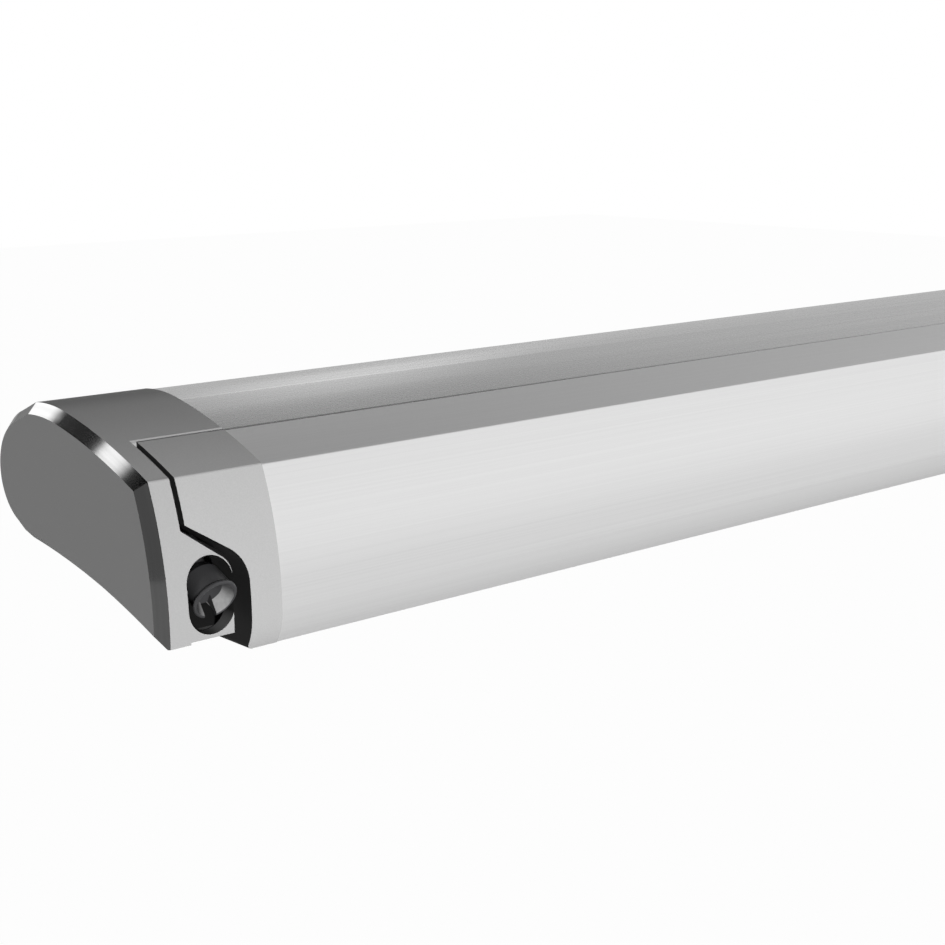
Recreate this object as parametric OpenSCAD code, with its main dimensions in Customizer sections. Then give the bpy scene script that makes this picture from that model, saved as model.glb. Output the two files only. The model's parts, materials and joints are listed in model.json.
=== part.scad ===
// Roll-out cassette awning, closed. X runs along its length, the front faces -Y and Z is up.
// The origin is the middle fixing hole, on the land under the housing.

/* [Cassette] */
// Length over both end caps
case_length = 2600; // [2400:10:3200]
// Wall of the extruded sections
wall = 2.6; // [2.2:0.1:3]
// Radius of the slope behind the fold
top_r = 406; // [396:1:416]
// Radius of the crown
crown_r = 119; // [116:0.5:122]
// Radius of the round back
back_r = 39.5; // [39:0.5:40.5]
// Radius of the bowed front
front_r = 221; // [218:0.5:224]
// Radius of the hollow underside
hollow_r = 628; // [600:1:660]
// Gap between housing and lead rail at the top seam
seam_gap = 0.8; // [0.4:0.1:1.2]
// Radius of the fold between slope and front
fold_r = 2.2; // [1.5:0.1:2.8]

/* [End caps] */
// Width of an end cap along the awning
cap_width = 83; // [80:1:90]
// Wall of the moulded caps
cap_wall = 3; // [2.5:0.1:3.4]
// How far the caps stand proud of the extrusions
cap_proud = 0.8; // [0.4:0.1:1.2]
// Chamfer round the flat side
chamfer = 6.5; // [4:0.1:8]
// Front strip beside the lead rail
strip_width = 20; // [18:0.5:20.5]
// Gap from the strip to the lead rail cap
strip_gap = 3.5; // [2.5:0.1:4]
// Gap from the cap to the lead rail cap at the top seam
cap_gap = 1.4; // [1:0.1:1.8]
// Right edge of the crank boss
boss_edge = 53.5; // [52.5:0.5:55]
// Left edge of the lead rail cap below the boss
lead_edge = 61.5; // [60:0.5:65]

/* [Crank] */
// Bell centre from the flat side
crank_u = 35.5; // [35:0.1:36]
// Bell rim diameter
bell_d = 28; // [26:0.5:29]
// Bell socket diameter
socket_d = 10; // [8:0.5:11]
// Downward tilt of the bell
crank_tilt = 30; // [29:0.5:30.5]
// Width of the oval hole
oval_w = 31; // [30.4:0.2:31.4]
// Height of the oval hole
oval_h = 45.5; // [44:0.5:46]

/* [Roller] */
// Roller tube diameter
roller_d = 48; // [44:0.5:50]
// Diameter of the wound cloth
roll_d = 58; // [56:0.5:59]
// Roller journal diameter
journal_d = 20; // [18:0.5:22]
// Cloth thickness
cloth = 0.6; // [0.4:0.1:0.8]

/* [Arms] */
// Arm pivot from the end of the cassette
shoulder_inset = 150; // [145:1:170]
// Elbow from the middle of the awning
elbow_inset = 80; // [60:1:120]
// Width of an arm tube
arm_w = 28; // [26:0.5:29]
// Height of an arm tube
arm_h = 36; // [32:0.5:37]
// Wall of an arm tube
arm_wall = 2.4; // [2:0.1:3]
// Lane between the folded tubes
arm_lane = 4; // [3:0.1:4.5]
// Pin diameter of the arm joints
pin_d = 12; // [10:0.5:13]
// Spring diameter
spring_d = 18; // [14:0.5:20]

/* [Legs] */
// Width of a leg tube
leg_w = 24; // [22:0.5:24.5]
// Height of a leg tube
leg_h = 20; // [18:0.5:20.5]
// Wall of the leg tubes
leg_wall = 1.8; // [1.4:0.1:2]
// Leg pivot from the end of the cassette
leg_inset = 110; // [108:1:120]
// Leg pin diameter
leg_pin_d = 8; // [6:0.5:9]

/* [Fixing] */
// Fixing hole diameter
bolt_hole = 8.5; // [6.5:0.5:10.5]
// Distance between fixing holes
bolt_spacing = 900; // [600:10:1000]
// Width of the fixing land
land_w = 26; // [22:1:28]

/* [Fits] */
// Radial clearance of running pins
run_fit = 0.05; // [0.03:0.01:0.1]
// Gap of pieces that sit together
seat = 0.1; // [0.05:0.05:0.15]
// Gap of pieces that pass each other
pass = 0.5; // [0.4:0.1:0.6]

/* [Hidden] */
$fn = 96;
half = case_length / 2;
// Step between neighbouring arcs, too small to see
hair = 0.03;
rail_half = half - cap_width - seat;
// Outline of the cassette
crest = [17.7, 96.8];
top_lean = 10.7;
// Flats above and below the back, by where they touch it
back_lean = 22.5;
heel_lean = 152;
flat_step = 0.1;
crown_c = crest - [0, crown_r];
top_c = crown_c - (top_r - crown_r) * [-sin(top_lean), cos(top_lean)];
back_c = [36.5, 51];
front_y = -110.8;
front_c = [front_y + front_r, -18.6];
// Centre of the fold: it touches the slope and the front from inside
fold_far = norm(front_c - top_c);
fold_e = (front_c - top_c) / fold_far;
fold_a = (pow(top_r - fold_r, 2) - pow(front_r - fold_r, 2) + pow(fold_far, 2)) / (2 * fold_far);
fold_h = sqrt(pow(top_r - fold_r, 2) - pow(fold_a, 2));
fold_c = top_c + fold_a * fold_e + fold_h * [-fold_e[1], fold_e[0]];
curl_r = 36;
tip = [-104.7, -25.7];
heel = [43.2, 9.8];
chord = heel - tip;
chord_u = chord / norm(chord);
hollow_drop = sqrt(pow(hollow_r, 2) - pow(norm(chord) / 2, 2));
hollow_c = (tip + heel) / 2 + hollow_drop * [chord_u[1], -chord_u[0]];
seam_y = -54;
sill_y = -62;
lead_low = -39.5;
floor_z = 7;
// Diagonal edge between the crank boss and the lead rail cap
slope = -32.7;
slope_n = [-sin(slope), cos(slope)];
lead_line = 47.3;
boss_line = lead_line - strip_gap;
boss_round = 17;
lead_u = strip_width + strip_gap;
rim = 2.5;
boss_rim = 4.5;
// The shoulder of the boss leans in ahead of shoulder_y
shoulder_y = -102;
shoulder_lean = 0.5;
strip_foot = -26.2;
boss_foot = -24.8;
// Crank and gears
bell_r = bell_d / 2;
bell_y = -113.5;
bell_z = -2.5;
oval_u = crank_u - 0.8;
oval_z = 0.1;
roller_y = back_c[0];
roller_z = 45;
roll_r = roll_d / 2;
crank_dir = [cos(crank_tilt), sin(crank_tilt)];
to_roller = [roller_y - bell_y, roller_z - bell_z];
worm_at = to_roller * crank_dir;
gear_dist = to_roller[0] * crank_dir[1] - to_roller[1] * crank_dir[0];
worm_r = 8.5;
shaft_r = 6;
wheel_r = gear_dist - worm_r - 0.4;
wheel_teeth = 24;
gear_wall = 2.4;
plate_t = 4;
bush_r = journal_d / 2 + 3;
// Arms
arm_z = 18;
arm_top = arm_z + arm_h;
upper_y = -28;
elbow_y = upper_y - (arm_w + arm_lane) / 2;
fore_y = upper_y - arm_w - arm_lane;
shoulder_x = shoulder_inset - half;
elbow_x = -elbow_inset;
pin_r = pin_d / 2;
stub = 26;
spigot_far = 60;
elbow_r = arm_w / 2 + 1;
shoulder_r = arm_w / 2;
wrist_r = arm_w / 2 - 2;
// Lead rail
lead_back = fore_y - arm_w / 2 - 2;
lead_walls = lead_back + 2;
lead_round = 25;
// Back and roof of the leg channel
channel_y = -69.6;
roof_z = -8;
// Groove of the cloth bead: its wall runs a little into the top wall
groove_y = seam_y - 7.5;
groove_r = 3.4;
groove_wall = 2;
groove_bite = 0.3362;
groove_z = top_z(groove_y, cap_proud + wall + groove_r + groove_wall - groove_bite);
cloth_inset = 105;
// Legs
leg_x = leg_inset - half;
leg_y = -88.5;
drip_y = leg_y - leg_w / 2 - 0.7;
leg_z = -22;
leg_end = -120;
inner_w = leg_w - 2 * leg_wall - 2 * pass;
inner_h = leg_h - 2 * leg_wall - 2 * pass;
inner_wall = 1.5;
pad_x = half - 700;
foot_x = -50;
lever_x = -110;
lever_z = -34.6;

// Colours
silver = [0.80, 0.81, 0.82];
grey = [0.45, 0.46, 0.47];
dark = [0.20, 0.20, 0.21];
steel = [0.62, 0.63, 0.65];
canvas = [0.70, 0.71, 0.72];

// A section in Y and Z, drawn along X
module along(x0, x1)
    translate([x0, 0, 0])
        rotate([90, 0, 90])
            linear_extrude(x1 - x0)
                children();

// An outline in X and Z, drawn through Y
module through(y0, y1)
    translate([0, y1, 0])
        rotate([90, 0, 0])
            linear_extrude(y1 - y0)
                children();

// A plan in X and Y, drawn upward
module upward(z0, z1)
    translate([0, 0, z0])
        linear_extrude(z1 - z0)
            children();

// Left end with its flat side at X = 0, and its mirror image
module left_end()
    translate([-half, 0, 0])
        children();

module right_end()
    mirror([1, 0, 0])
        left_end()
            children();

module both_ends() {
    left_end()
        children();
    right_end()
        children();
}

module other_side()
    mirror([1, 0, 0])
        children();

module box(x0, x1, y0, y1, z0, z1)
    translate([x0, y0, z0])
        cube([x1 - x0, y1 - y0, z1 - z0]);

module pane(y0, y1, z0, z1)
    translate([y0, z0])
        square([y1 - y0, z1 - z0]);

module rod_y(x, z, r, y0, y1)
    translate([x, y0, z])
        rotate([-90, 0, 0])
            cylinder(h = y1 - y0, r = r);

module rod_z(x, y, r, z0, z1)
    translate([x, y, z0])
        cylinder(h = z1 - z0, r = r);

module rod_x(y, z, r, x0, x1)
    translate([x0, y, z])
        rotate([0, 90, 0])
            cylinder(h = x1 - x0, r = r);

// A rectangle with round corners about a centre
module rounded(y, z, w, h, r)
    translate([y, z]) {
        square([w - 2 * r, h], center = true);
        square([w, h - 2 * r], center = true);
        for (a = [-1, 1], b = [-1, 1])
            translate([a * (w / 2 - r), b * (h / 2 - r)])
                circle(r);
    }

module tube(y, z, w, h, t, r)
    difference() {
        rounded(y, z, w, h, r);
        rounded(y, z, w - 2 * t, h - 2 * t, max(r - t, 0.5));
    }

// Outline of the closed cassette, taken in by t: slope, crown and back run on from one another
module big_disc(c, r)
    translate(c)
        circle(r, $fn = 720);

module top_disc(t)
    big_disc(top_c, top_r - t);

module front_disc(t)
    big_disc(front_c, front_r - t);

module ahead_of(lean)
    translate(crown_c)
        rotate(lean)
            pane(-700, 0, -700, 700);

// Rounds the fold of its children, which are taken in by t
module folded(t)
    if (fold_r - t > 0.5) {
        to_top = (fold_c - top_c) / norm(fold_c - top_c);
        to_front = (fold_c - front_c) / norm(fold_c - front_c);
        difference() {
            children();
            translate(fold_c)
                polygon([[0, 0], 60 * to_top, 60 * (to_top + to_front), 60 * to_front]);
        }
        translate(fold_c)
            circle(fold_r - t + hair);
    } else
        children();

module case_area(t)
    difference() {
        union() {
            folded(t)
                intersection() {
                    top_disc(t + 2 * hair);
                    front_disc(t);
                    ahead_of(top_lean);
                }
            intersection() {
                big_disc(crown_c, crown_r - t - hair);
                translate(back_c) {
                    rotate(-back_lean)
                        pane(-700, 0, -700, back_r - t - flat_step);
                    rotate(-heel_lean)
                        pane(0, 700, -700, back_r - t - flat_step);
                }
            }
            translate(back_c)
                circle(back_r - t, $fn = 180);
        }
        big_disc(hollow_c, hollow_r + t);
    }

// The same outline, taken in by t0 at x0 and by t1 at x1. The cones run on past both ends by different
// lengths e, and one slab trims them.
module cone_x(c, r, t0, t1, x0, x1, e) {
    k = (t0 - t1) / (x1 - x0);
    translate([x0 - e, c[0], c[1]])
        rotate([0, 90, 0])
            cylinder(h = x1 - x0 + 2 * e, r1 = r - t0 - k * e, r2 = r - t1 + k * e,
                     $fn = r > 100 ? 720 : 180);
}

module wedge_x(lean, x0, x1)
    translate([0, crown_c[0], crown_c[1]])
        rotate([lean, 0, 0])
            box(x0 - 9, x1 + 9, -700, 0, -700, 700);

// A flat that touches the back, on one side of where it does
module flat_x(lean, side, t0, t1, x0, x1)
    translate([x1, back_c[0], back_c[1]])
        rotate([lean, 0, 0])
            intersection() {
                translate([0, side * 350, 0])
                    box(x0 - x1 - 9, 9, -350, 350, -700, 700);
                translate([0, 0, back_r - flat_step - t1])
                    rotate([0, -atan2(t0 - t1, x1 - x0), 0])
                        box(-100, 100, -800, 800, -900, 0);
            }

module case_taper(t0, t1, x0, x1)
    intersection() {
        difference() {
            union() {
                intersection() {
                    cone_x(top_c, top_r - 2 * hair, t0, t1, x0, x1, 3);
                    cone_x(front_c, front_r, t0, t1, x0, x1, 4);
                    wedge_x(top_lean, x0, x1);
                }
                intersection() {
                    cone_x(crown_c, crown_r - hair, t0, t1, x0, x1, 5);
                    union() {
                        flat_x(-back_lean, -1, t0, t1, x0, x1);
                        flat_x(-heel_lean, 1, t0, t1, x0, x1);
                    }
                }
                cone_x(back_c, back_r, t0, t1, x0, x1, 6);
            }
            cone_x(hollow_c, hollow_r, -t0, -t1, x0, x1, 7);
        }
        box(x0, x1, -300, 300, -300, 300);
    }

// Housing section
port_r = back_r - cap_proud - wall - 3.2;
port_places = [
    back_c + port_r * [cos(70), sin(70)],
    back_c + port_r * [cos(20), sin(20)],
    [-51, -1.2]
];

// Height of the top at y, taken in by t
function top_z(y, t) = top_c[1] + sqrt(pow(top_r - t, 2) - pow(y - top_c[0], 2));

// Slant that breaks the front edge of the top at the seam; the top is taken in by t
module seam_edge(t, e) {
    z = top_z(seam_y, t);
    polygon([[seam_y - 2, z - e - 2], [seam_y + e + 2, z + 2], [seam_y - 2, z + 2]]);
}

module housing_section() {
    difference() {
        case_area(cap_proud);
        case_area(cap_proud + wall);
        polygon([[-140, -60], [sill_y, -60], [sill_y, 30], [seam_y, 60], [seam_y, 130], [-140, 130]]);
        seam_edge(cap_proud, 0.8);
    }
    // sill, floor ribs and fixing land
    intersection() {
        case_area(cap_proud);
        union() {
            pane(sill_y, sill_y + wall, -20, 2);
            pane(-46, -34, -20, floor_z);
            pane(-22, -10, -20, floor_z);
        }
    }
    difference() {
        pane(-land_w / 2, land_w / 2, 0, 12);
        case_area(cap_proud + wall);
    }
    for (p = port_places)
        difference() {
            translate(p)
                circle(4);
            translate(p)
                circle(1.9);
        }
}

bracket_holes = [[-44, -40], [-44, -16], [22, -40], [22, -16]];

module at_brackets()
    for (side = [0, 1])
        mirror([side, 0, 0])
            translate([shoulder_x, 0, 0])
                children();

module housing()
    color(silver)
        difference() {
            along(-rail_half, rail_half)
                difference() {
                    housing_section();
                    for (p = port_places)
                        translate(p)
                            circle(1.9);
                }
            for (i = [-1, 0, 1])
                rod_z(i * bolt_spacing, 0, bolt_hole / 2, -1, 20);
            at_brackets()
                for (h = bracket_holes)
                    rod_z(h[0], h[1], 3 + run_fit, floor_z - 6, floor_z + 1);
        }

// Edge shared by the crank boss and the lead rail cap: a diagonal rounded into an upright
function edge_c(edge, line, r) = [edge - r, (line - r - slope_n[0] * (edge - r)) / slope_n[1]];

module edge_plan(edge, line, r) {
    c = edge_c(edge, line, r);
    polygon([
        [-20, -60],
        [edge - hair, -60],
        [edge - hair, c[1]],
        c,
        c + (r - hair) * slope_n,
        [-20, (line - hair + slope_n[0] * 20) / slope_n[1]]
    ]);
}

module edge_area(edge, line, r) {
    edge_plan(edge, line, r);
    translate(edge_c(edge, line, r))
        circle(r);
}

module boss_area(t)
    intersection() {
        edge_area(boss_edge - t, boss_line - t, boss_round - t);
        pane(strip_width - rim, 100, -60, 100);
    }

module oval(t)
    translate([oval_u, oval_z]) {
        square([oval_w + 2 * t, oval_h - oval_w], center = true);
        for (s = [-1, 1])
            translate([0, s * (oval_h - oval_w) / 2])
                circle(oval_w / 2 + t);
    }

cap_screw_u = [50, 66];
cap_screw_y = -26;
flange_z = 12;

// Walls kept inside the cap beside the strip and round the boss
module cap_walls() {
    pane(strip_width - rim, strip_width, -60, 100);
    difference() {
        boss_area(0);
        boss_area(boss_rim);
    }
}

// The boss ahead of shoulder_y: its diagonal and upright lean in, with a cone between them
module leaning(point, out)
    translate([point[0], shoulder_y, point[1]])
        rotate(acos(out[2] / norm(out)), cross([0, 0, 1], out))
            box(-200, 200, -200, 200, -400, 0);

module boss_shoulder() {
    c = edge_c(boss_edge, boss_line, boss_round);
    reach = 12;
    intersection() {
        through(shoulder_y - reach, shoulder_y)
            edge_plan(boss_edge, boss_line, boss_round);
        leaning(c + boss_round * slope_n, [slope_n[0], -shoulder_lean, slope_n[1]]);
        leaning([boss_edge, c[1]], [1, -shoulder_lean, 0]);
    }
    translate([c[0], shoulder_y - reach, c[1]])
        rotate([-90, 0, 0])
            cylinder(h = reach, r1 = boss_round - shoulder_lean * reach + hair, r2 = boss_round + hair);
}

module end_cap(crank)
    difference() {
        union() {
            case_taper(chamfer, 0, 0, chamfer);
            along(chamfer, cap_width)
                case_area(0);
        }
        difference() {
            union() {
                case_taper(chamfer + cap_wall * 0.414, cap_wall, cap_wall, chamfer + cap_wall * 0.414);
                along(chamfer + cap_wall * 0.414, cap_width + 1)
                    case_area(cap_wall);
            }
            through(-140, -90)
                cap_walls();
            if (crank)
                through(-140, -101)
                    oval(2);
            for (u = cap_screw_u)
                rod_z(u, cap_screw_y, 5.5, -40, flange_z);
        }
        // window of the lead rail cap
        through(shoulder_y - 1, seam_y)
            difference() {
                pane(strip_width, cap_width + 1, -60, 200);
                boss_area(0);
            }
        difference() {
            box(strip_width, cap_width + 1, shoulder_y - 11, shoulder_y, -60, 200);
            boss_shoulder();
        }
        along(strip_width, cap_width + 1)
            seam_edge(0, 1.1);
        box(-1, strip_width + 1, -140, -90, -60, strip_foot);
        box(strip_width, cap_width + 1, -140, -85, -60, boss_foot);
        if (crank) {
            through(-140, -100.5)
                oval(0);
            through(-101, -89)
                intersection() {
                    oval(0);
                    pane(0, cap_width, -12, 60);
                }
        }
        for (u = cap_screw_u) {
            rod_z(u, cap_screw_y, 2 + seat, -20, flange_z + 1);
            rod_z(u, cap_screw_y, 3.8, -20, 2);
        }
    }

module left_end_cap()
    color(grey)
        left_end()
            end_cap(true);

module right_end_cap()
    color(grey)
        right_end()
            end_cap(false);

// Plate across the end of the housing
module end_plate()
    difference() {
        union() {
            along(cap_width - plate_t - seat, cap_width - seat)
                difference() {
                    case_area(cap_wall + 0.2);
                    pane(-200, -57, -60, 200);
                    pane(-200, -40, 20, 200);
                }
            box(44, cap_width - seat, -36, -16, flange_z + seat, flange_z + 4);
        }
        rod_x(roller_y, roller_z, bush_r + run_fit, 0, cap_width + 1);
        for (p = port_places)
            rod_x(p[0], p[1], 1.9, 0, cap_width + 1);
        for (u = cap_screw_u)
            rod_z(u, cap_screw_y, 1.9, 0, 30);
    }

module left_end_plate()
    color(steel)
        left_end()
            end_plate();

module right_end_plate()
    color(steel)
        right_end()
            end_plate();

module plate_screws()
    color(steel)
        both_ends()
            for (p = port_places) {
                rod_x(p[0], p[1], 1.8, cap_width - plate_t - 1, cap_width + 16);
                rod_x(p[0], p[1], 3.4, cap_width - plate_t - 3, cap_width - plate_t - 2 * seat);
            }

module cap_screws()
    color(steel)
        both_ends()
            for (u = cap_screw_u) {
                rod_z(u, cap_screw_y, 1.8, 0, 20);
                rod_z(u, cap_screw_y, 3.5, -0.8, 1.9);
            }

module roller_bushes()
    color(dark)
        both_ends()
            difference() {
                rod_x(roller_y, roller_z, bush_r, cap_width - plate_t - 2, cap_width + 2);
                rod_x(roller_y, roller_z, journal_d / 2 + run_fit, 0, cap_width + 10);
            }

// Crank line: local Z runs inward from the mouth of the bell
module crank_line()
    translate([crank_u - half, bell_y, bell_z])
        rotate([crank_tilt - 90, 0, 0])
            children();

module crank_bell()
    color(dark)
        crank_line()
            difference() {
                rotate_extrude()
                    polygon([
                        [0, 31], [0, 40], [8.5, 40], [8.5, 24], [bell_r - 2.2, 18], [bell_r - 1, 2.9],
                        [bell_r - 0.3, 2.2], [bell_r, 1.5], [bell_r - 0.1, 0.8], [bell_r - 0.6, 0.2],
                        [bell_r - 1.3, 0], [bell_r - 2, 0.3], [bell_r - 2.5, 1],
                        [socket_d / 2, 15], [socket_d / 2, 30], [0, 30]
                    ]);
                translate([0, 0, 32])
                    cylinder(h = 10, r = shaft_r + seat);
                translate([-4, 6, -1])
                    cube([8, 10, 12]);
            }

module crank_shaft()
    color(steel)
        crank_line() {
            translate([0, 0, 32 + seat])
                cylinder(h = worm_at + 15 - 32, r = shaft_r);
            for (i = [-2 : 2])
                translate([0, 0, worm_at + 4.4 * i - 2]) {
                    cylinder(h = 2, r1 = shaft_r, r2 = worm_r);
                    translate([0, 0, 2])
                        cylinder(h = 2, r1 = worm_r, r2 = shaft_r);
                }
        }

module worm_wheel()
    color([0.72, 0.60, 0.35])
        left_end()
            difference() {
                along(crank_u - 6, crank_u + 6)
                    translate([roller_y, roller_z]) {
                        circle(wheel_r - 3);
                        for (i = [0 : wheel_teeth - 1])
                            rotate(360 / wheel_teeth * i)
                                polygon([
                                    [wheel_r - 4, -2.2], [wheel_r - 0.1, -1],
                                    [wheel_r - 0.1, 1], [wheel_r - 4, 2.2]
                                ]);
                    }
                rod_x(roller_y, roller_z, journal_d / 2 - 2 + seat, 0, cap_width);
            }

module gearbox_case()
    color(dark)
        difference() {
            union() {
                left_end() {
                    rod_x(roller_y, roller_z, wheel_r + 1 + gear_wall, crank_u - 11, crank_u + 11);
                    rod_x(roller_y, roller_z, journal_d / 2 + 3,
                          crank_u + 11, cap_width - plate_t - 2 - 2 * seat);
                }
                crank_line()
                    translate([0, 0, worm_at - 16])
                        cylinder(h = 29.5, r = worm_r + 0.6 + gear_wall);
            }
            left_end() {
                rod_x(roller_y, roller_z, wheel_r + 1, crank_u - 8, crank_u + 8);
                rod_x(roller_y, roller_z, journal_d / 2 - 1, crank_u, cap_width);
                rod_x(roller_y, roller_z, journal_d / 2 + pass, cap_width - plate_t - 6, cap_width);
            }
            crank_line() {
                translate([0, 0, worm_at - 12.5])
                    cylinder(h = 24, r = worm_r + 0.6);
                translate([0, 0, worm_at - 30])
                    cylinder(h = 60, r = shaft_r + run_fit);
            }
        }

// Roller
module roller_tube()
    color(steel)
        along(95 - half, half - 95)
            translate([roller_y, roller_z])
                difference() {
                    circle(roller_d / 2);
                    circle(roller_d / 2 - 1.8);
                }

module plug(shaft_u)
    difference() {
        union() {
            rod_x(roller_y, roller_z, roller_d / 2 - 1.8 - seat, 95, 125);
            rod_x(roller_y, roller_z, roller_d / 2, 91, 95 - seat);
            rod_x(roller_y, roller_z, journal_d / 2, cap_width - plate_t - 5, 100);
            rod_x(roller_y, roller_z, journal_d / 2 - 2, shaft_u, 100);
        }
        rod_x(roller_y, roller_z, roller_d / 2 - 8, 105, 126);
    }

module roller_drive_plug()
    color(dark)
        left_end()
            plug(crank_u - 7);

module roller_idle_plug()
    color(dark)
        right_end()
            plug(cap_width - plate_t - 8);

// The last turn of the cloth ends in a step
module cloth_roll()
    color(canvas)
        along(cloth_inset - half, half - cloth_inset)
            translate([roller_y, roller_z])
                difference() {
                    union() {
                        circle(roll_r - cloth);
                        intersection() {
                            circle(roll_r);
                            polygon([[0, 0], [-4, 60], [60, 60], [60, -60], [0, -60]]);
                        }
                    }
                    circle(roller_d / 2 + seat);
                }

// Free stretch of cloth from the roll to the lead rail
cloth_y = seam_y - 1.6;
cloth_to = [roller_y - cloth_y, roller_z - groove_z];
cloth_len = sqrt(cloth_to * cloth_to - pow(roll_r + pass, 2));
cloth_turn = atan2(cloth_to[1], cloth_to[0]) + asin((roll_r + pass) / norm(cloth_to));

module cloth()
    color(canvas)
        along(cloth_inset - half, half - cloth_inset)
            translate([cloth_y, groove_z])
                rotate(cloth_turn)
                    square([cloth_len, cloth]);

module cloth_bead()
    color(canvas) {
        rod_x(groove_y, groove_z, groove_r - 2 * seat, cloth_inset - half, half - cloth_inset);
        box(cloth_inset - half, half - cloth_inset, groove_y, cloth_y - pass, groove_z - cloth / 2, groove_z + cloth / 2);
    }

module lip_seal()
    color(dark)
        along(-rail_half, rail_half)
            intersection() {
                pane(seam_y + 0.5, seam_y + 7, 76.2, 100);
                top_disc(cap_proud + wall + 2 * hair + seat / 2);
            }

// Arms. The tubes lie side by side, with the elbow pin between them.
module shoulder_bracket()
    translate([shoulder_x, 0, 0])
        difference() {
            union() {
                box(-50, 30, -46, -10, floor_z + seat / 2, 12);
                box(-34, -22, upper_y - shoulder_r, upper_y + shoulder_r, 11, arm_top + 6);
                rod_z(0, upper_y, shoulder_r, 11, arm_z - pass);
                upward(arm_top + pass, arm_top + 6) {
                    translate([0, upper_y])
                        circle(shoulder_r);
                    pane(-34, 0, upper_y - shoulder_r, upper_y + shoulder_r);
                }
            }
            rod_z(0, upper_y, pin_r + run_fit, 12, arm_top + 10);
            for (h = bracket_holes)
                rod_z(h[0], h[1], 3 + run_fit, 0, 13);
        }

module left_shoulder_bracket()
    color(steel)
        shoulder_bracket();

module right_shoulder_bracket()
    color(steel)
        other_side()
            shoulder_bracket();

module bracket_bolts()
    color(steel)
        at_brackets()
            for (h = bracket_holes) {
                rod_z(h[0], h[1], 3, floor_z - 5.5, 13);
                translate([h[0], h[1], 12 + seat])
                    cylinder(h = 3.6, r = 5, $fn = 6);
            }

module shoulder_pins()
    color(steel)
        at_brackets() {
            rod_z(0, upper_y, pin_r, 12 + seat, arm_top + 7);
            rod_z(0, upper_y, pin_r + 2.5, arm_top + 6 + seat, arm_top + 9);
        }

module arm_tube(y)
    along(shoulder_x + stub + seat, elbow_x - stub - seat)
        tube(y, arm_z + arm_h / 2, arm_w, arm_h, arm_wall, 4);

module spigot(y, x0, x1)
    along(x0, x1)
        rounded(y, arm_z + arm_h / 2, arm_w - 2 * arm_wall - 2 * seat, arm_h - 2 * arm_wall - 2 * seat, 1.4);

module knuckle(y, r)
    difference() {
        union() {
            spigot(y, shoulder_x + stub - 1, shoulder_x + spigot_far);
            rod_z(shoulder_x, y, r, arm_z, arm_top);
            box(shoulder_x, shoulder_x + 18, y - r + 3, y + r - 3, arm_z, arm_top);
            upward(arm_z, arm_top)
                polygon([
                    [shoulder_x + 12, y - r + 3], [shoulder_x + stub, y - arm_w / 2 + 0.5],
                    [shoulder_x + stub, y + arm_w / 2 - 0.5], [shoulder_x + 12, y + r - 3]
                ]);
        }
        rod_z(shoulder_x, y, pin_r + run_fit, 0, 100);
    }

// Plan of an elbow end about the pin; side 1 is the upper arm, -1 the forearm
module elbow_plan(side) {
    circle(elbow_r);
    polygon([
        [-24, side * (arm_lane / 2 + 0.5)], (elbow_r - hair) * [-cos(45.5), -side * sin(45.5)],
        (elbow_r + hair) * [sin(27.8), side * cos(27.8)], [-24, side * (arm_lane / 2 + arm_w - 0.5)]
    ]);
}

module elbow_block(side)
    translate([elbow_x, elbow_y])
        pane(
            -stub, -22,
            side > 0 ? arm_lane / 2 + 0.5 : -arm_lane / 2 - arm_w + 0.5,
            side > 0 ? arm_lane / 2 + arm_w - 0.5 : -arm_lane / 2 - 0.5
        );

ear = 7;

module elbow_fork()
    difference() {
        union() {
            spigot(upper_y, elbow_x - spigot_far, elbow_x - stub + 1);
            upward(arm_z, arm_top)
                elbow_block(1);
            for (z = [arm_z, arm_top - ear])
                upward(z, z + ear)
                    translate([elbow_x, elbow_y])
                        elbow_plan(1);
        }
        rod_z(elbow_x, elbow_y, pin_r + run_fit, 0, 100);
    }

module elbow_tongue()
    difference() {
        union() {
            spigot(fore_y, elbow_x - spigot_far, elbow_x - stub + 1);
            upward(arm_z, arm_top)
                elbow_block(-1);
            upward(arm_z + ear + pass, arm_top - ear - pass)
                translate([elbow_x, elbow_y])
                    elbow_plan(-1);
        }
        rod_z(elbow_x, elbow_y, pin_r + run_fit, 0, 100);
    }

module elbow_pin() {
    rod_z(elbow_x, elbow_y, pin_r, arm_z - 2.5, arm_top + 2);
    rod_z(elbow_x, elbow_y, pin_r + 3, arm_top + seat, arm_top + 3);
    rod_z(elbow_x, elbow_y, pin_r + 2, arm_z - 3, arm_z - seat);
}

// Spring in the upper arm, with the cable end that pulls on the elbow
module arm_spring()
    difference() {
        union() {
            rod_x(upper_y, arm_z + arm_h / 2, spring_d / 2, shoulder_x + spigot_far + pass, elbow_x - 240);
            rod_x(upper_y, arm_z + arm_h / 2, 2, elbow_x - 240, elbow_x - spigot_far - pass);
        }
        rod_x(upper_y, arm_z + arm_h / 2, spring_d / 2 - 3, shoulder_x + spigot_far, elbow_x - 246);
    }

module left_upper_arm()
    color(silver)
        arm_tube(upper_y);

module left_shoulder_knuckle()
    color(grey)
        knuckle(upper_y, shoulder_r);

module left_elbow_fork()
    color(grey)
        elbow_fork();

module left_arm_spring()
    color(steel)
        arm_spring();

module left_elbow_pin()
    color(steel)
        elbow_pin();

module left_forearm()
    color(silver)
        arm_tube(fore_y);

module left_elbow_tongue()
    color(grey)
        elbow_tongue();

module left_wrist_knuckle()
    color(grey)
        knuckle(fore_y, wrist_r);

module right_upper_arm()
    other_side()
        left_upper_arm();

module right_shoulder_knuckle()
    other_side()
        left_shoulder_knuckle();

module right_elbow_fork()
    other_side()
        left_elbow_fork();

module right_arm_spring()
    other_side()
        left_arm_spring();

module right_elbow_pin()
    other_side()
        left_elbow_pin();

module right_forearm()
    other_side()
        left_forearm();

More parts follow.
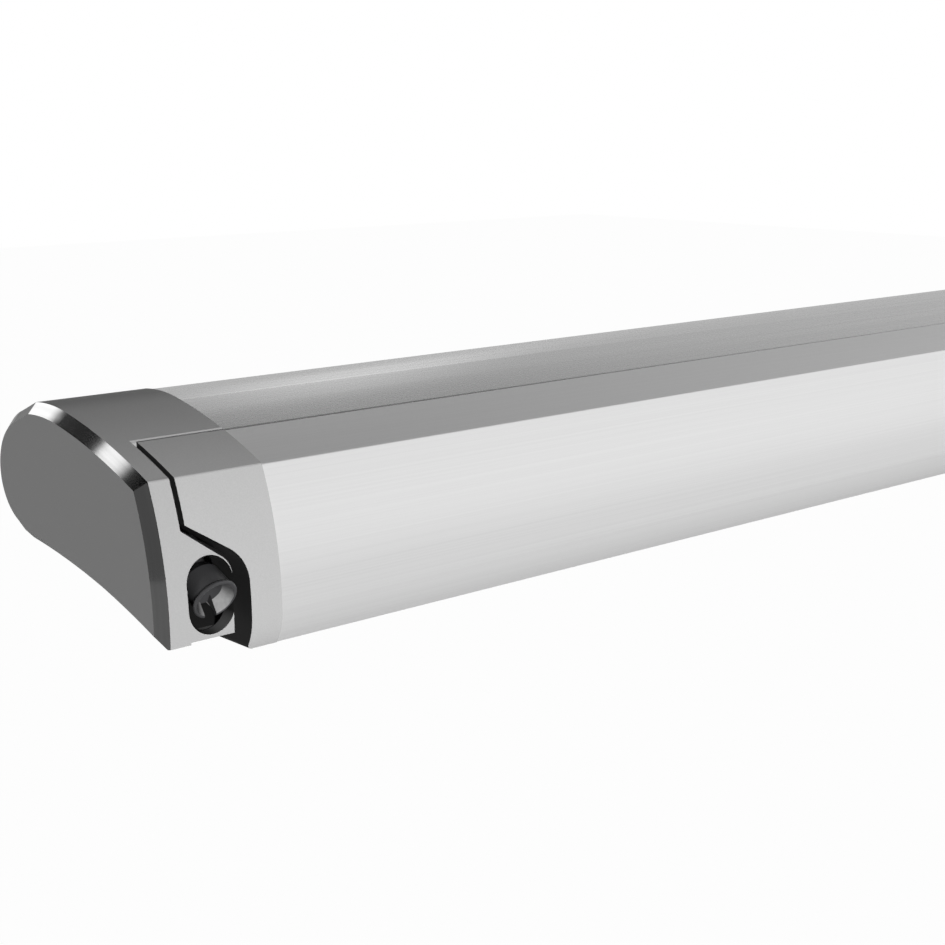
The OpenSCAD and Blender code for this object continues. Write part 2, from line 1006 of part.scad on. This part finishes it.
module right_elbow_tongue()
    other_side()
        left_elbow_tongue();

module right_wrist_knuckle()
    other_side()
        left_wrist_knuckle();

// Lead rail
// The front curls in below its fullest point
module lead_front(t, y1) {
    folded(t)
        intersection() {
            top_disc(t);
            front_disc(t);
            pane(-140, y1, front_c[1], 130);
        }
    intersection() {
        translate([front_y + curl_r, front_c[1]])
            circle(curl_r - t, $fn = 180);
        pane(-140, front_y + curl_r, lead_low, front_c[1]);
    }
    pane(front_y + curl_r, y1, lead_low, front_c[1]);
}

module lead_area(t)
    lead_front(t, seam_y - seam_gap);

module lead_section() {
    difference() {
        lead_area(cap_proud);
        lead_front(cap_proud + wall, 0);
        pane(drip_y, 0, lead_low - 1, lead_low + 6);
    }
    // back wall, leg channel and drip edge
    intersection() {
        lead_area(cap_proud);
        union() {
            pane(lead_back - wall, lead_back, roof_z, 130);
            pane(-140, channel_y, roof_z, roof_z + wall);
            pane(channel_y - wall, channel_y, lead_low + 2, roof_z + wall);
            pane(-140, drip_y, lead_low, lead_low + 2.4);
        }
    }
    // groove of the cloth bead
    difference() {
        translate([groove_y, groove_z])
            circle(groove_r + groove_wall);
        translate([groove_y, groove_z])
            circle(groove_r);
        pane(groove_y, groove_y + 10, groove_z - 1.2, groove_z + 1.2);
    }
}

module lead_rail()
    color(silver)
        difference() {
            along(-rail_half, rail_half)
                lead_section();
            for (side = [-1, 1])
                rod_y(side * leg_x, leg_z, leg_pin_d / 2 + seat, -80, -60);
        }

// Room for the crank boss, widened by t: the diagonal and upright, then the round between them
module lead_cut(t)
    through(-150, 0)
        edge_plan(lead_edge + t, lead_line + t, lead_round + t);

module lead_cut_round(t) {
    c = edge_c(lead_edge + t, lead_line + t, lead_round + t);
    rod_y(c[0], c[1], lead_round + t, -150, 0);
}

module lead_cap() {
    difference() {
        along(lead_u, cap_width)
            lead_front(0, seam_y - cap_gap);
        lead_cut(0);
        lead_cut_round(0);
        difference() {
            box(lead_edge - 1, lead_edge + 4, -140, 0, lead_low - 1, lead_low + 4);
            rod_y(lead_edge + 4 - 2 * hair, lead_low + 4 - hair, 4, -141, 1);
        }
        // hollow behind the skin, with walls beside the strip, round the boss and at the bottom
        difference() {
            along(lead_u + rim, cap_width + 2)
                intersection() {
                    top_disc(cap_wall);
                    front_disc(cap_wall);
                    pane(-160, 10, lead_low + 9, 150);
                }
            lead_cut(rim);
            lead_cut_round(rim);
        }
        along(lead_u - 3, cap_width + 3)
            intersection() {
                top_disc(cap_wall);
                front_disc(cap_wall);
                pane(lead_walls, 11, lead_low - 20, 151);
            }
    }
    // plug in the end of the lead rail
    along(cap_width - 4, cap_width)
        intersection() {
            front_disc(1);
            pane(-140, lead_back - wall - 2 * seat, roof_z + wall + 2 * seat, 50);
        }
    along(cap_width - 1, cap_width + 14)
        intersection() {
            front_disc(cap_proud + wall + 2 * seat);
            pane(-140, lead_back - wall - 2 * seat, roof_z + wall + 2 * seat, 50);
        }
}

module left_lead_cap()
    color(grey)
        left_end()
            lead_cap();

module right_lead_cap()
    color(grey)
        right_end()
            lead_cap();

module wrist_bracket()
    translate([shoulder_x, 0, 0])
        difference() {
            union() {
                box(-26, 22, lead_back + seat / 2, lead_back + 3, 6, arm_top + 8);
                for (z = [arm_z - 6, arm_top + pass])
                    upward(z, z + 6 - pass) {
                        translate([0, fore_y])
                            circle(wrist_r);
                        pane(-wrist_r, wrist_r, lead_back + 1, fore_y);
                    }
            }
            rod_z(0, fore_y, pin_r + run_fit, 0, 100);
        }

module left_wrist_bracket()
    color(steel)
        wrist_bracket();

module right_wrist_bracket()
    color(steel)
        other_side()
            wrist_bracket();

module wrist_pins()
    color(steel)
        at_brackets() {
            rod_z(0, fore_y, pin_r, arm_z - 8, arm_top + 7);
            rod_z(0, fore_y, pin_r + 2, arm_top + 6 + seat, arm_top + 9);
            rod_z(0, fore_y, pin_r + 2, arm_z - 9, arm_z - 6 - seat);
        }

// Legs
module leg_pads()
    color(dark)
        for (side = [-1, 1])
            translate([side * pad_x, leg_y, 0])
                box(-20, 20, -8, 8, leg_z + leg_h / 2 + pass, roof_z - seat);

module leg_pins()
    color(steel)
        for (side = [-1, 1]) {
            rod_y(side * leg_x, leg_z, leg_pin_d / 2, leg_y - 14.5, channel_y + 0.6);
            rod_y(side * leg_x, leg_z, leg_pin_d / 2 + 2, channel_y + seat, channel_y + 2);
        }

module leg_tube()
    along(leg_x + 14 + seat, leg_end)
        tube(leg_y, leg_z, leg_w, leg_h, leg_wall, 3);

module leg_eye()
    difference() {
        union() {
            rod_y(leg_x, leg_z, leg_pin_d / 2 + 5, leg_y - 11, leg_y + 11);
            box(leg_x, leg_x + 14, leg_y - 11, leg_y + 11, leg_z - 8, leg_z + 8);
            along(leg_x + 13, leg_x + 40)
                rounded(leg_y, leg_z, leg_w - 2 * leg_wall - 2 * seat, leg_h - 2 * leg_wall - 2 * seat, 1);
        }
        rod_y(leg_x, leg_z, leg_pin_d / 2 + run_fit, -140, 0);
    }

module leg_collar()
    difference() {
        union() {
            along(leg_end - 10, leg_end + 20)
                rounded(leg_y, leg_z, leg_w + 2.4, leg_h + 3, 3);
            for (y = [leg_y - 11, leg_y + 8])
                hinge_lug(y, y + 3);
        }
        along(leg_end - 11, leg_end + seat)
            rounded(leg_y, leg_z, leg_w + 2 * seat, leg_h + 2 * seat, 3);
        along(leg_end - 11, leg_end + 21)
            rounded(leg_y, leg_z, inner_w + 2 * pass, inner_h + 2 * pass, 2);
        rod_y(lever_x, lever_z, 1.5 + run_fit, -140, 0);
        rod_y(lever_x, lever_z, 2.6 + pass, leg_y - 8, leg_y + 8);
    }

module hinge_lug(y0, y1) {
    rod_y(lever_x, lever_z, 3, y0, y1);
    box(lever_x - 3, lever_x + 3, y0, y1, lever_z, leg_z - leg_h / 2 - 0.5);
}

module leg_lever() {
    rod_y(lever_x, lever_z, 1.5, leg_y - 11, leg_y + 11);
    rod_y(lever_x, lever_z, 2.6, leg_y - 7.5, leg_y + 7.5);
    box(lever_x - 52, lever_x, leg_y - 7.5, leg_y + 7.5, lever_z - 2.6, lever_z - 0.4);
}

module leg_inner()
    difference() {
        along(leg_x + 90, foot_x + 6)
            tube(leg_y, leg_z, inner_w, inner_h, inner_wall, 2.5);
        rod_y(foot_x, leg_z, 2 + run_fit, -140, 0);
    }

module leg_foot() {
    foot_half = inner_w / 2 - inner_wall - pass;
    rod_y(foot_x, leg_z, 2, leg_y - inner_w / 2, leg_y + inner_w / 2);
    rod_y(foot_x, leg_z, 4, leg_y - foot_half, leg_y + foot_half);
    box(foot_x, foot_x + 12, leg_y - foot_half, leg_y + foot_half, leg_z - 3, leg_z + 3);
    along(foot_x + 11, foot_x + 16)
        rounded(leg_y, leg_z, 21, 17, 3);
}

module left_leg_tube()
    color(silver)
        leg_tube();

module left_leg_eye()
    color(dark)
        leg_eye();

module left_leg_collar()
    color(dark)
        leg_collar();

module left_leg_lever()
    color(dark)
        leg_lever();

module left_leg_inner()
    color(silver)
        leg_inner();

module left_leg_foot()
    color(dark)
        leg_foot();

module right_leg_tube()
    other_side()
        left_leg_tube();

module right_leg_eye()
    other_side()
        left_leg_eye();

module right_leg_collar()
    other_side()
        left_leg_collar();

module right_leg_lever()
    other_side()
        left_leg_lever();

module right_leg_inner()
    other_side()
        left_leg_inner();

module right_leg_foot()
    other_side()
        left_leg_foot();

housing();
left_end_cap();
right_end_cap();
left_end_plate();
right_end_plate();
gearbox_case();
roller_bushes();
left_shoulder_bracket();
right_shoulder_bracket();
shoulder_pins();
lip_seal();
plate_screws();
cap_screws();
bracket_bolts();
roller_tube();
roller_drive_plug();
roller_idle_plug();
cloth_roll();
worm_wheel();
crank_bell();
crank_shaft();
left_upper_arm();
left_shoulder_knuckle();
left_elbow_fork();
left_arm_spring();
left_elbow_pin();
left_forearm();
left_elbow_tongue();
left_wrist_knuckle();
right_upper_arm();
right_shoulder_knuckle();
right_elbow_fork();
right_arm_spring();
right_elbow_pin();
right_forearm();
right_elbow_tongue();
right_wrist_knuckle();
lead_rail();
left_lead_cap();
right_lead_cap();
left_wrist_bracket();
right_wrist_bracket();
wrist_pins();
cloth_bead();
leg_pads();
leg_pins();
cloth();
left_leg_tube();
left_leg_eye();
left_leg_collar();
left_leg_lever();
left_leg_inner();
left_leg_foot();
right_leg_tube();
right_leg_eye();
right_leg_collar();
right_leg_lever();
right_leg_inner();
right_leg_foot();
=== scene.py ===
import json
import math

import bmesh
import bpy
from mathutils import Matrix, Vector


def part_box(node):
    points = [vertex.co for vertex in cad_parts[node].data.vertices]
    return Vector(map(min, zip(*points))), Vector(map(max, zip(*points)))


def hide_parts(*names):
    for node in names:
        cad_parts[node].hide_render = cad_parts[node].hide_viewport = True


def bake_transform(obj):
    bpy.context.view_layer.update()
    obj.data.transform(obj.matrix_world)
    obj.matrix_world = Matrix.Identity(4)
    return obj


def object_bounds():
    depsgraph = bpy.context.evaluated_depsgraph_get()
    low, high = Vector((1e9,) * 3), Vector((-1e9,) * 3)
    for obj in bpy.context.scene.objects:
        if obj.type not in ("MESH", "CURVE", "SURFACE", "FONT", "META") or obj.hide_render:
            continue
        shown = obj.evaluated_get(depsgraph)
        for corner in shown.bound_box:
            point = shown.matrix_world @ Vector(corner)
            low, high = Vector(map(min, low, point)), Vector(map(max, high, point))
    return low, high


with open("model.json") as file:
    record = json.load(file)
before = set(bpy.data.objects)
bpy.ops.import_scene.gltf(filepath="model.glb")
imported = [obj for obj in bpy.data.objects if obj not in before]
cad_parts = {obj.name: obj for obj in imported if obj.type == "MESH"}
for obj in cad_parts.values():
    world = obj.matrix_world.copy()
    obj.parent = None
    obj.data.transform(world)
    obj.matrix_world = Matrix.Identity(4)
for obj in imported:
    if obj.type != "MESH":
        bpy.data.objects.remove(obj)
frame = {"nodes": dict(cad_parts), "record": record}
cad_low, cad_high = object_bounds()


# Places on the awning, in metres

# End caps: the flat outer side and the slanted edge round it
flat_x = cad_high[0]
chamfer_width = 0.0065
chamfer_margin = 0.00005

# Oval crank opening in each end cap. Its walls and all that lies behind its ledge get painted shade. The
# painted shade is weaker on its lowest wall, which catches some light, up to the height where it is as
# dark as the rest.
opening_x = 1.2653
opening_half_width = 0.0158
opening_half_height = 0.023
opening_front_y = -0.1115
opening_back_y = -0.0085
ledge_y = -0.1012
opening_floor_z = -0.022
opening_dark_z = -0.012

# Crank bell: its mouth lies ahead of the socket, on the same axis. The walls of the mouth that face the
# light, outside a set radius from the axis, get a painted highlight. The painted highlight fades out over
# the rim.
crank_socket = next(mount for mount in frame["record"]["mounts"] if mount["name"] == "crank_socket")
mouth_to_socket = 0.0225
bell_axis = Vector(crank_socket["axis"])
bell_mouth = Vector(crank_socket["pos_m"]) + mouth_to_socket * bell_axis
highlight_side = (-0.5, 0, 0.85)
highlight_r = 0.0083
mouth_inner, mouth_outer = -0.004, 0.002

# Cloth grid and floor
cloth_columns = 40
cloth_rows = 24
floor_z = -2.4
floor_half = 30

# Camera of the photograph, turned in degrees
camera_place = (-1.7757, -0.8950, 0.2692)
camera_turn = (77.9, 0, -42.1)
camera_lens = 64.76
camera_sensor = 36
camera_reach = 60


# Shader helpers

def feed(tree, socket, value):
    """Give a socket another node's output or a plain value."""
    if isinstance(value, bpy.types.NodeSocket):
        tree.links.new(value, socket)
    else:
        socket.default_value = value


def node_of(tree, kind, inputs=None, **settings):
    """A new node with its settings, and its inputs by name or number."""
    node = tree.nodes.new(kind)
    for key, value in settings.items():
        setattr(node, key, value)
    for socket, value in (inputs or {}).items():
        feed(tree, node.inputs[socket], value)
    return node


def calculated(tree, how, first, second=0):
    """One arithmetic step on two values."""
    return node_of(tree, "ShaderNodeMath", {0: first, 1: second}, operation=how).outputs["Value"]


def vector_math(tree, how, *vectors):
    """One step on vectors; a dot product and a length give a number."""
    step = node_of(tree, "ShaderNodeVectorMath", dict(enumerate(vectors)), operation=how)
    return step.outputs["Value" if how in ("DOT_PRODUCT", "LENGTH") else "Vector"]


def axes_of(tree, vector):
    """The X, Y and Z of a vector."""
    return node_of(tree, "ShaderNodeSeparateXYZ", {"Vector": vector}).outputs


def between(tree, value, low, high, start=0, end=1):
    """Low where the value is at its start, high where it is at its end."""
    step = node_of(tree, "ShaderNodeMapRange", {
        "Value": value, "From Min": start, "From Max": end, "To Min": low, "To Max": high,
    })
    return step.outputs["Result"]


def within(tree, value, low, high):
    """1 where the value lies between two numbers."""
    span = {0: value, 1: (low + high) / 2, 2: (high - low) / 2}
    return node_of(tree, "ShaderNodeMath", span, operation="COMPARE").outputs["Value"]


def all_of(tree, mask, *others):
    """1 where every mask is 1."""
    for other in others:
        mask = calculated(tree, "MULTIPLY", mask, other)
    return mask


def mixed(tree, share, first, second):
    """The first shader where the share is 0, the second where it is 1."""
    return node_of(tree, "ShaderNodeMixShader", {0: share, 1: first, 2: second}).outputs["Shader"]


def shader_of(material):
    return material.node_tree.nodes["Principled BSDF"]


def finish_of(name, colour, metal, rough):
    """A material with its plain numbers set on the shader."""
    material = bpy.data.materials.new(name)
    material.use_nodes = True
    shader = shader_of(material)
    shader.inputs["Base Color"].default_value = (*colour, 1)
    shader.inputs["Metallic"].default_value = metal
    shader.inputs["Roughness"].default_value = rough
    return material, material.node_tree, shader


def grey(level):
    return level, level, level


# Textures: most values of a noise lie between noise_low and noise_high

noise_low, noise_high = 0.3, 0.7
noise_detail = 3
bump_strength = 0.25
even = (1, 1, 1)


def place_on(tree, stretch):
    """Object coordinates, stretched along each axis."""
    where = node_of(tree, "ShaderNodeTexCoord")
    mapping = node_of(tree, "ShaderNodeMapping", {"Vector": where.outputs["Object"], "Scale": stretch})
    return mapping.outputs["Vector"]


def noise_on(tree, stretch, scale=1):
    noise = node_of(tree, "ShaderNodeTexNoise", {
        "Vector": place_on(tree, stretch), "Scale": scale, "Detail": noise_detail,
    })
    return noise.outputs["Fac"]


def mottled(tree, texture, colour, share):
    """The colour, a little darker where the texture is low and lighter where it is high."""
    ramp = node_of(tree, "ShaderNodeValToRGB", {"Fac": texture})
    dark, light = ramp.color_ramp.elements
    dark.position, light.position = noise_low, noise_high
    dark.color = (*(c * (1 - share) for c in colour), 1)
    light.color = (*(min(c * (1 + share), 1) for c in colour), 1)
    return ramp.outputs["Color"]


def laid_over(tree, mask, colour):
    """Another colour where the mask is 1."""
    base = tree.nodes["Principled BSDF"].inputs["Base Color"]
    blend = node_of(tree, "ShaderNodeMix", {
        "Factor": mask, "A": base.links[0].from_socket, "B": colour,
    }, data_type="RGBA")
    feed(tree, base, blend.outputs["Result"])


def bumped(tree, shader, texture, depth):
    bump = node_of(tree, "ShaderNodeBump", {
        "Height": texture, "Strength": bump_strength, "Distance": depth,
    })
    feed(tree, shader.inputs["Normal"], bump.outputs["Normal"])


# Finishes

die_lines = (1.5, 900, 900)
die_line_shade, die_line_rough = 0.025, 0.04
grain_scale, grain_shade, grain_depth = 1400, 0.05, 0.0002
cloud_scale, cloud_shade, cloud_smooth, cloud_rough = 60, 0.08, 0.06, 0.08
# Grain within the painted highlight in the crank bell's mouth
highlight_grain_scale, highlight_grain_shade = 400, 0.1
brushed_lines, brushed_shade, brushed_rough = (400, 6, 6), 0.08, 0.09
thread_scale, thread_shade, thread_depth = 260, 0.06, 0.0001
cap_rough, cap_gleam = 0.5, 0.25
shaded_plastic = grey(0.03)
opening_floor_shade = 0.3

# How squarely a face looks along an axis: 1 is straight along it
aslant, nearly_square = 0.3, 0.97
upright = 0.5
slot_side = 0.95
# Where the painted highlight in the bell's mouth starts and where it is full
off_highlight, on_highlight = -0.1, 0.5


def anodised(name, colour, metal=0.35, rough=0.42):
    """Extruded aluminium: fine die lines run along the length."""
    material, tree, shader = finish_of(name, colour, metal, rough)
    lines = noise_on(tree, die_lines)
    roughness = between(tree, lines, rough - die_line_rough, rough + die_line_rough, noise_low, noise_high)
    feed(tree, shader.inputs["Base Color"], mottled(tree, lines, colour, die_line_shade))
    feed(tree, shader.inputs["Roughness"], roughness)
    return material


def moulded(name, colour, rough, metal=0):
    """Moulded plastic with a fine even grain."""
    material, tree, shader = finish_of(name, colour, metal, rough)
    grain = noise_on(tree, even, grain_scale)
    feed(tree, shader.inputs["Base Color"], mottled(tree, grain, colour, grain_shade))
    bumped(tree, shader, grain, grain_depth)
    return material


def in_shade(tree):
    """Colour of moulded walls that no light reaches."""
    return mottled(tree, noise_on(tree, even, grain_scale), shaded_plastic, grain_shade)


def outward(tree):
    """How squarely a face looks along the awning to its nearer end; -1 is straight to the middle."""
    where = node_of(tree, "ShaderNodeTexCoord")
    end = calculated(tree, "SIGN", axes_of(tree, where.outputs["Object"])["X"])
    return calculated(tree, "MULTIPLY", axes_of(tree, where.outputs["Normal"])["X"], end)


def cap_finish(name, colour, gap_side):
    """Moulded cap with painted shade on its walls in the gap: they face the awning's end (1) or its middle
    (-1).
    """
    material = moulded(name, colour, cap_rough)
    tree = material.node_tree
    shader_of(material).inputs["Specular IOR Level"].default_value = cap_gleam
    into_gap = calculated(tree, "MULTIPLY", outward(tree), gap_side)
    # Painted shade on the walls that face into the gap
    laid_over(tree, calculated(tree, "GREATER_THAN", into_gap, aslant), in_shade(tree))
    return material


def in_opening(tree):
    """Mask of painted shade: 1 on the walls of the crank openings, less low down on them, and on all that
    lies behind their ledge.
    """
    where = node_of(tree, "ShaderNodeTexCoord")
    place = axes_of(tree, where.outputs["Object"])
    from_middle = calculated(tree, "ABSOLUTE", place["X"])
    opening = all_of(
        tree,
        within(tree, from_middle, opening_x - opening_half_width, opening_x + opening_half_width),
        within(tree, place["Y"], opening_front_y, opening_back_y),
        within(tree, place["Z"], -opening_half_height, opening_half_height),
    )
    sides = within(tree, axes_of(tree, where.outputs["Normal"])["Y"], -upright, upright)
    shade = between(tree, place["Z"], opening_floor_shade, 1, opening_floor_z, opening_dark_z)
    walls = calculated(tree, "MULTIPLY", sides, shade)
    behind = calculated(tree, "GREATER_THAN", place["Y"], ledge_y)
    return calculated(tree, "MULTIPLY", opening, calculated(tree, "MAXIMUM", walls, behind))


def on_chamfer(tree):
    """1 on the slanted edge round the flat side of an end cap."""
    where = node_of(tree, "ShaderNodeTexCoord")
    from_middle = calculated(tree, "ABSOLUTE", axes_of(tree, where.outputs["Object"])["X"])
    inner_x = flat_x - chamfer_width + chamfer_margin
    outer = calculated(tree, "GREATER_THAN", from_middle, inner_x)
    return calculated(tree, "MULTIPLY", outer, within(tree, outward(tree), aslant, nearly_square))


def end_cap_finish(name, colour, bright):
    """Cap with painted shade in its crank opening and a bright brushed edge round its flat side."""
    material = cap_finish(name, colour, gap_side=-1)
    tree, shader = material.node_tree, shader_of(material)
    # Painted shade in the crank opening
    laid_over(tree, in_opening(tree), in_shade(tree))
    edge = on_chamfer(tree)
    laid_over(tree, edge, mottled(tree, noise_on(tree, brushed_lines), bright, brushed_shade))
    feed(tree, shader.inputs["Metallic"], edge)
    feed(tree, shader.inputs["Roughness"], between(tree, edge, cap_rough, brushed_rough))
    feed(tree, tree.nodes["Bump"].inputs["Strength"], between(tree, edge, bump_strength, 0))
    return material


def bell_finish(name, colour, rough, highlight_grey):
    """Moulded bell with a painted highlight on the walls of its mouth that face the light."""
    material = moulded(name, colour, rough)
    tree = material.node_tree
    where = node_of(tree, "ShaderNodeTexCoord")
    normal = where.outputs["Normal"]
    from_mouth = vector_math(tree, "SUBTRACT", where.outputs["Object"], bell_mouth)
    off_axis = vector_math(tree, "LENGTH", vector_math(tree, "CROSS_PRODUCT", from_mouth, bell_axis))
    away_from_axis = vector_math(tree, "DOT_PRODUCT", normal, from_mouth)
    towards_highlight_side = vector_math(tree, "DOT_PRODUCT", normal, highlight_side)
    # Painted highlight: the walls of the mouth that face the light
    painted_highlight = all_of(
        tree,
        between(tree, away_from_axis, 1, 0, mouth_inner, mouth_outer),
        between(tree, towards_highlight_side, 0, 1, off_highlight, on_highlight),
        calculated(tree, "GREATER_THAN", off_axis, highlight_r),
        within(tree, axes_of(tree, normal)["X"], -slot_side, slot_side),
    )
    highlight_grain = noise_on(tree, even, highlight_grain_scale)
    laid_over(tree, painted_highlight, mottled(tree, highlight_grain, highlight_grey, highlight_grain_shade))
    return material


def plated(name, colour, metal=0.85, rough=0.32):
    """Plated or machined metal with faint clouds."""
    material, tree, shader = finish_of(name, colour, metal, rough)
    clouds = noise_on(tree, even, cloud_scale)
    roughness = between(tree, clouds, rough - cloud_smooth, rough + cloud_rough, noise_low, noise_high)
    feed(tree, shader.inputs["Base Color"], mottled(tree, clouds, colour, cloud_shade))
    feed(tree, shader.inputs["Roughness"], roughness)
    return material


def woven(name, colour, rough=0.75):
    """Coated awning cloth with fine threads that run out from the roll."""
    material, tree, shader = finish_of(name, colour, 0, rough)
    threads = node_of(tree, "ShaderNodeTexWave", {
        "Vector": place_on(tree, even), "Scale": thread_scale,
    }, bands_direction="X").outputs["Fac"]
    feed(tree, shader.inputs["Base Color"], mottled(tree, threads, colour, thread_shade))
    bumped(tree, shader, threads, thread_depth)
    return material


finishes = {
    "case_alu": anodised("case_anodised", grey(0.66), metal=0.75, rough=0.27),
    "lead_alu": anodised("lead_rail_anodised", grey(0.79), metal=0.45, rough=0.34),
    "arm_alu": anodised("tube_anodised", (0.62, 0.63, 0.64)),
    "cap_grey": end_cap_finish("cap_moulded", grey(0.41), bright=grey(0.5)),
    "lead_cap": cap_finish("lead_cap_moulded", grey(0.44), gap_side=1),
    # The bell's mouth carries a painted highlight in a lighter grey
    "bell_plastic": bell_finish("bell_moulded", (0.052, 0.052, 0.054), rough=0.33, highlight_grey=grey(0.32)),
    "dark_plastic": moulded("dark_moulded", (0.035, 0.035, 0.038), rough=0.55),
    "steel": plated("zinc_plated", (0.56, 0.57, 0.58)),
    "casting": moulded("cast_powder_coat", (0.40, 0.41, 0.42), rough=0.48, metal=0.1),
    "brass": plated("machined_brass", (0.62, 0.44, 0.18)),
    "cloth": woven("awning_cloth", (0.36, 0.38, 0.41)),
    "rubber": moulded("soft_rubber", grey(0.02), rough=0.7),
}

slots = {piece["node"]: piece["material_slot"] for piece in frame["record"]["subparts"]}
for name, node in frame["nodes"].items():
    node.data.materials.clear()
    node.data.materials.append(finishes[slots[name]])


def object_from(shape, name, finish):
    """A mesh object from a bmesh."""
    mesh = bpy.data.meshes.new(name)
    shape.to_mesh(mesh)
    shape.free()
    mesh.materials.append(finish)
    made = bpy.data.objects.new(name, mesh)
    bpy.context.collection.objects.link(made)
    return made


# Cloth from the roll to the lead rail: a flat stretched sheet across the cloth part's box

def stretched_cloth():
    low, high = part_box("cloth")
    grid_half = 0.5
    shape = bmesh.new()
    bmesh.ops.create_grid(shape, x_segments=cloth_columns, y_segments=cloth_rows, size=grid_half)
    for vert in shape.verts:
        across, along = vert.co.x + grid_half, vert.co.y + grid_half
        vert.co = (
            low[0] + across * (high[0] - low[0]),
            low[1] + along * (high[1] - low[1]),
            low[2] + along * (high[2] - low[2]),
        )
    cloth = object_from(shape, "stretched_cloth", finishes["cloth"])
    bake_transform(cloth)
    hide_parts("cloth")


stretched_cloth()


# Floor, light and camera

white = (1, 1, 1, 1)
floor_seen, floor_mirrored = 0.98, 0.08
ambient_strength = 0.08

# What mirrors see of the room: walls from left to right, and from their top up to a dark ceiling
left_wall, right_wall = 0.12, 0.7
left_end, right_end = 0.05, 0.5
ceiling = 0.05
wall_top, ceiling_edge = 0.42, 0.74

# Soft lamps behind the awning that only mirrors see: direction, angles off it in degrees up to which
# the lamp is full and where it has faded out, and strength
mirrored_lamps = (
    ((-0.172, 0.866, 0.47), 7, 15, 1.9),
    ((-0.456, 0.553, 0.698), 1.6, 2.3, 1.9),
    ((-0.475, 0.522, 0.707), 0.4, 3.2, 1.9),
    ((0.6, 0.69, 0.41), 1, 9, 1.6),
    ((-0.66, 0.65, 0.36), 9, 19, 0.7),
)


def in_mirrors(tree, path):
    """1 for what is seen in a shiny surface or through a clear one."""
    return calculated(tree, "MAXIMUM", path.outputs["Is Glossy Ray"], path.outputs["Is Transmission Ray"])


def pale_floor():
    """Floor that is white to the camera, dim in mirrors, and keeps the shadow."""
    shape = bmesh.new()
    bmesh.ops.create_grid(shape, x_segments=1, y_segments=1, size=floor_half)
    bmesh.ops.translate(shape, verts=shape.verts, vec=(0, 0, floor_z))
    paint, tree, shader = finish_of("pale_floor", grey(0.9), metal=0, rough=0.9)
    path = node_of(tree, "ShaderNodeLightPath")
    glow = node_of(tree, "ShaderNodeEmission")
    share = calculated(
        tree, "MAXIMUM",
        calculated(tree, "MULTIPLY", path.outputs["Is Camera Ray"], floor_seen),
        calculated(tree, "MULTIPLY", in_mirrors(tree, path), floor_mirrored),
    )
    surface = mixed(tree, share, shader.outputs["BSDF"], glow.outputs["Emission"])
    feed(tree, tree.nodes["Material Output"].inputs["Surface"], surface)
    floor = object_from(shape, "floor", paint)


def mirrored_room(tree):
    """Strength of what mirrors see: bright to the right, dim to the left, dark above, and the lamps."""
    direction = node_of(tree, "ShaderNodeTexCoord").outputs["Generated"]
    towards = axes_of(tree, direction)
    walls = between(tree, towards["X"], left_wall, right_wall, left_end, right_end)
    upward = between(tree, towards["Z"], 1, ceiling, wall_top, ceiling_edge)
    glow = calculated(tree, "MULTIPLY", walls, upward)
    for place, full, faded, strength in mirrored_lamps:
        nearness = vector_math(tree, "DOT_PRODUCT", direction, Vector(place).normalized())
        rim, core = math.cos(math.radians(faded)), math.cos(math.radians(full))
        glow = calculated(tree, "MAXIMUM", glow, between(tree, nearness, 0, strength, rim, core))
    return glow


def studio():
    """White to the camera, a room with lamps to mirrors, and a faint even light to all else."""
    world = bpy.data.worlds.new("studio")
    bpy.context.scene.world = world
    world.use_nodes = True
    tree = world.node_tree
    ambient = tree.nodes["Background"]
    ambient.inputs["Color"].default_value = white
    ambient.inputs["Strength"].default_value = ambient_strength
    room = node_of(tree, "ShaderNodeBackground", {"Color": white, "Strength": mirrored_room(tree)})
    backdrop = node_of(tree, "ShaderNodeBackground", {"Color": white})
    path = node_of(tree, "ShaderNodeLightPath")
    unseen = mixed(tree, in_mirrors(tree, path), ambient.outputs["Background"], room.outputs["Background"])
    seen = mixed(tree, path.outputs["Is Camera Ray"], unseen, backdrop.outputs["Background"])
    feed(tree, tree.nodes["World Output"].inputs["Surface"], seen)


def sun(name, towards, strength, softness):
    """Soft light that travels in one direction along the whole length and isn't seen in mirrors."""
    lamp = bpy.data.lights.new(name, "SUN")
    lamp.energy = strength
    lamp.angle = math.radians(softness)
    lamp_object = bpy.data.objects.new(name, lamp)
    lamp_object.rotation_euler = Vector(towards).to_track_quat("-Z", "Y").to_euler()
    lamp_object.visible_glossy = False
    bpy.context.collection.objects.link(lamp_object)


def photo_camera():
    camera = bpy.data.cameras.new("camera")
    camera.lens = camera_lens
    camera.sensor_width = camera_sensor
    camera.clip_end = camera_reach
    camera_object = bpy.data.objects.new("camera", camera)
    camera_object.location = camera_place
    camera_object.rotation_euler = [math.radians(a) for a in camera_turn]
    bpy.context.collection.objects.link(camera_object)
    bpy.context.scene.camera = camera_object


pale_floor()
studio()
sun("front_light", towards=(0.25, 0.967, 0), strength=3.9, softness=9)
sun("back_light", towards=(-0.2, -0.97, -0.05), strength=1.3, softness=24)
photo_camera()
bpy.context.scene.view_settings.view_transform = "Standard"
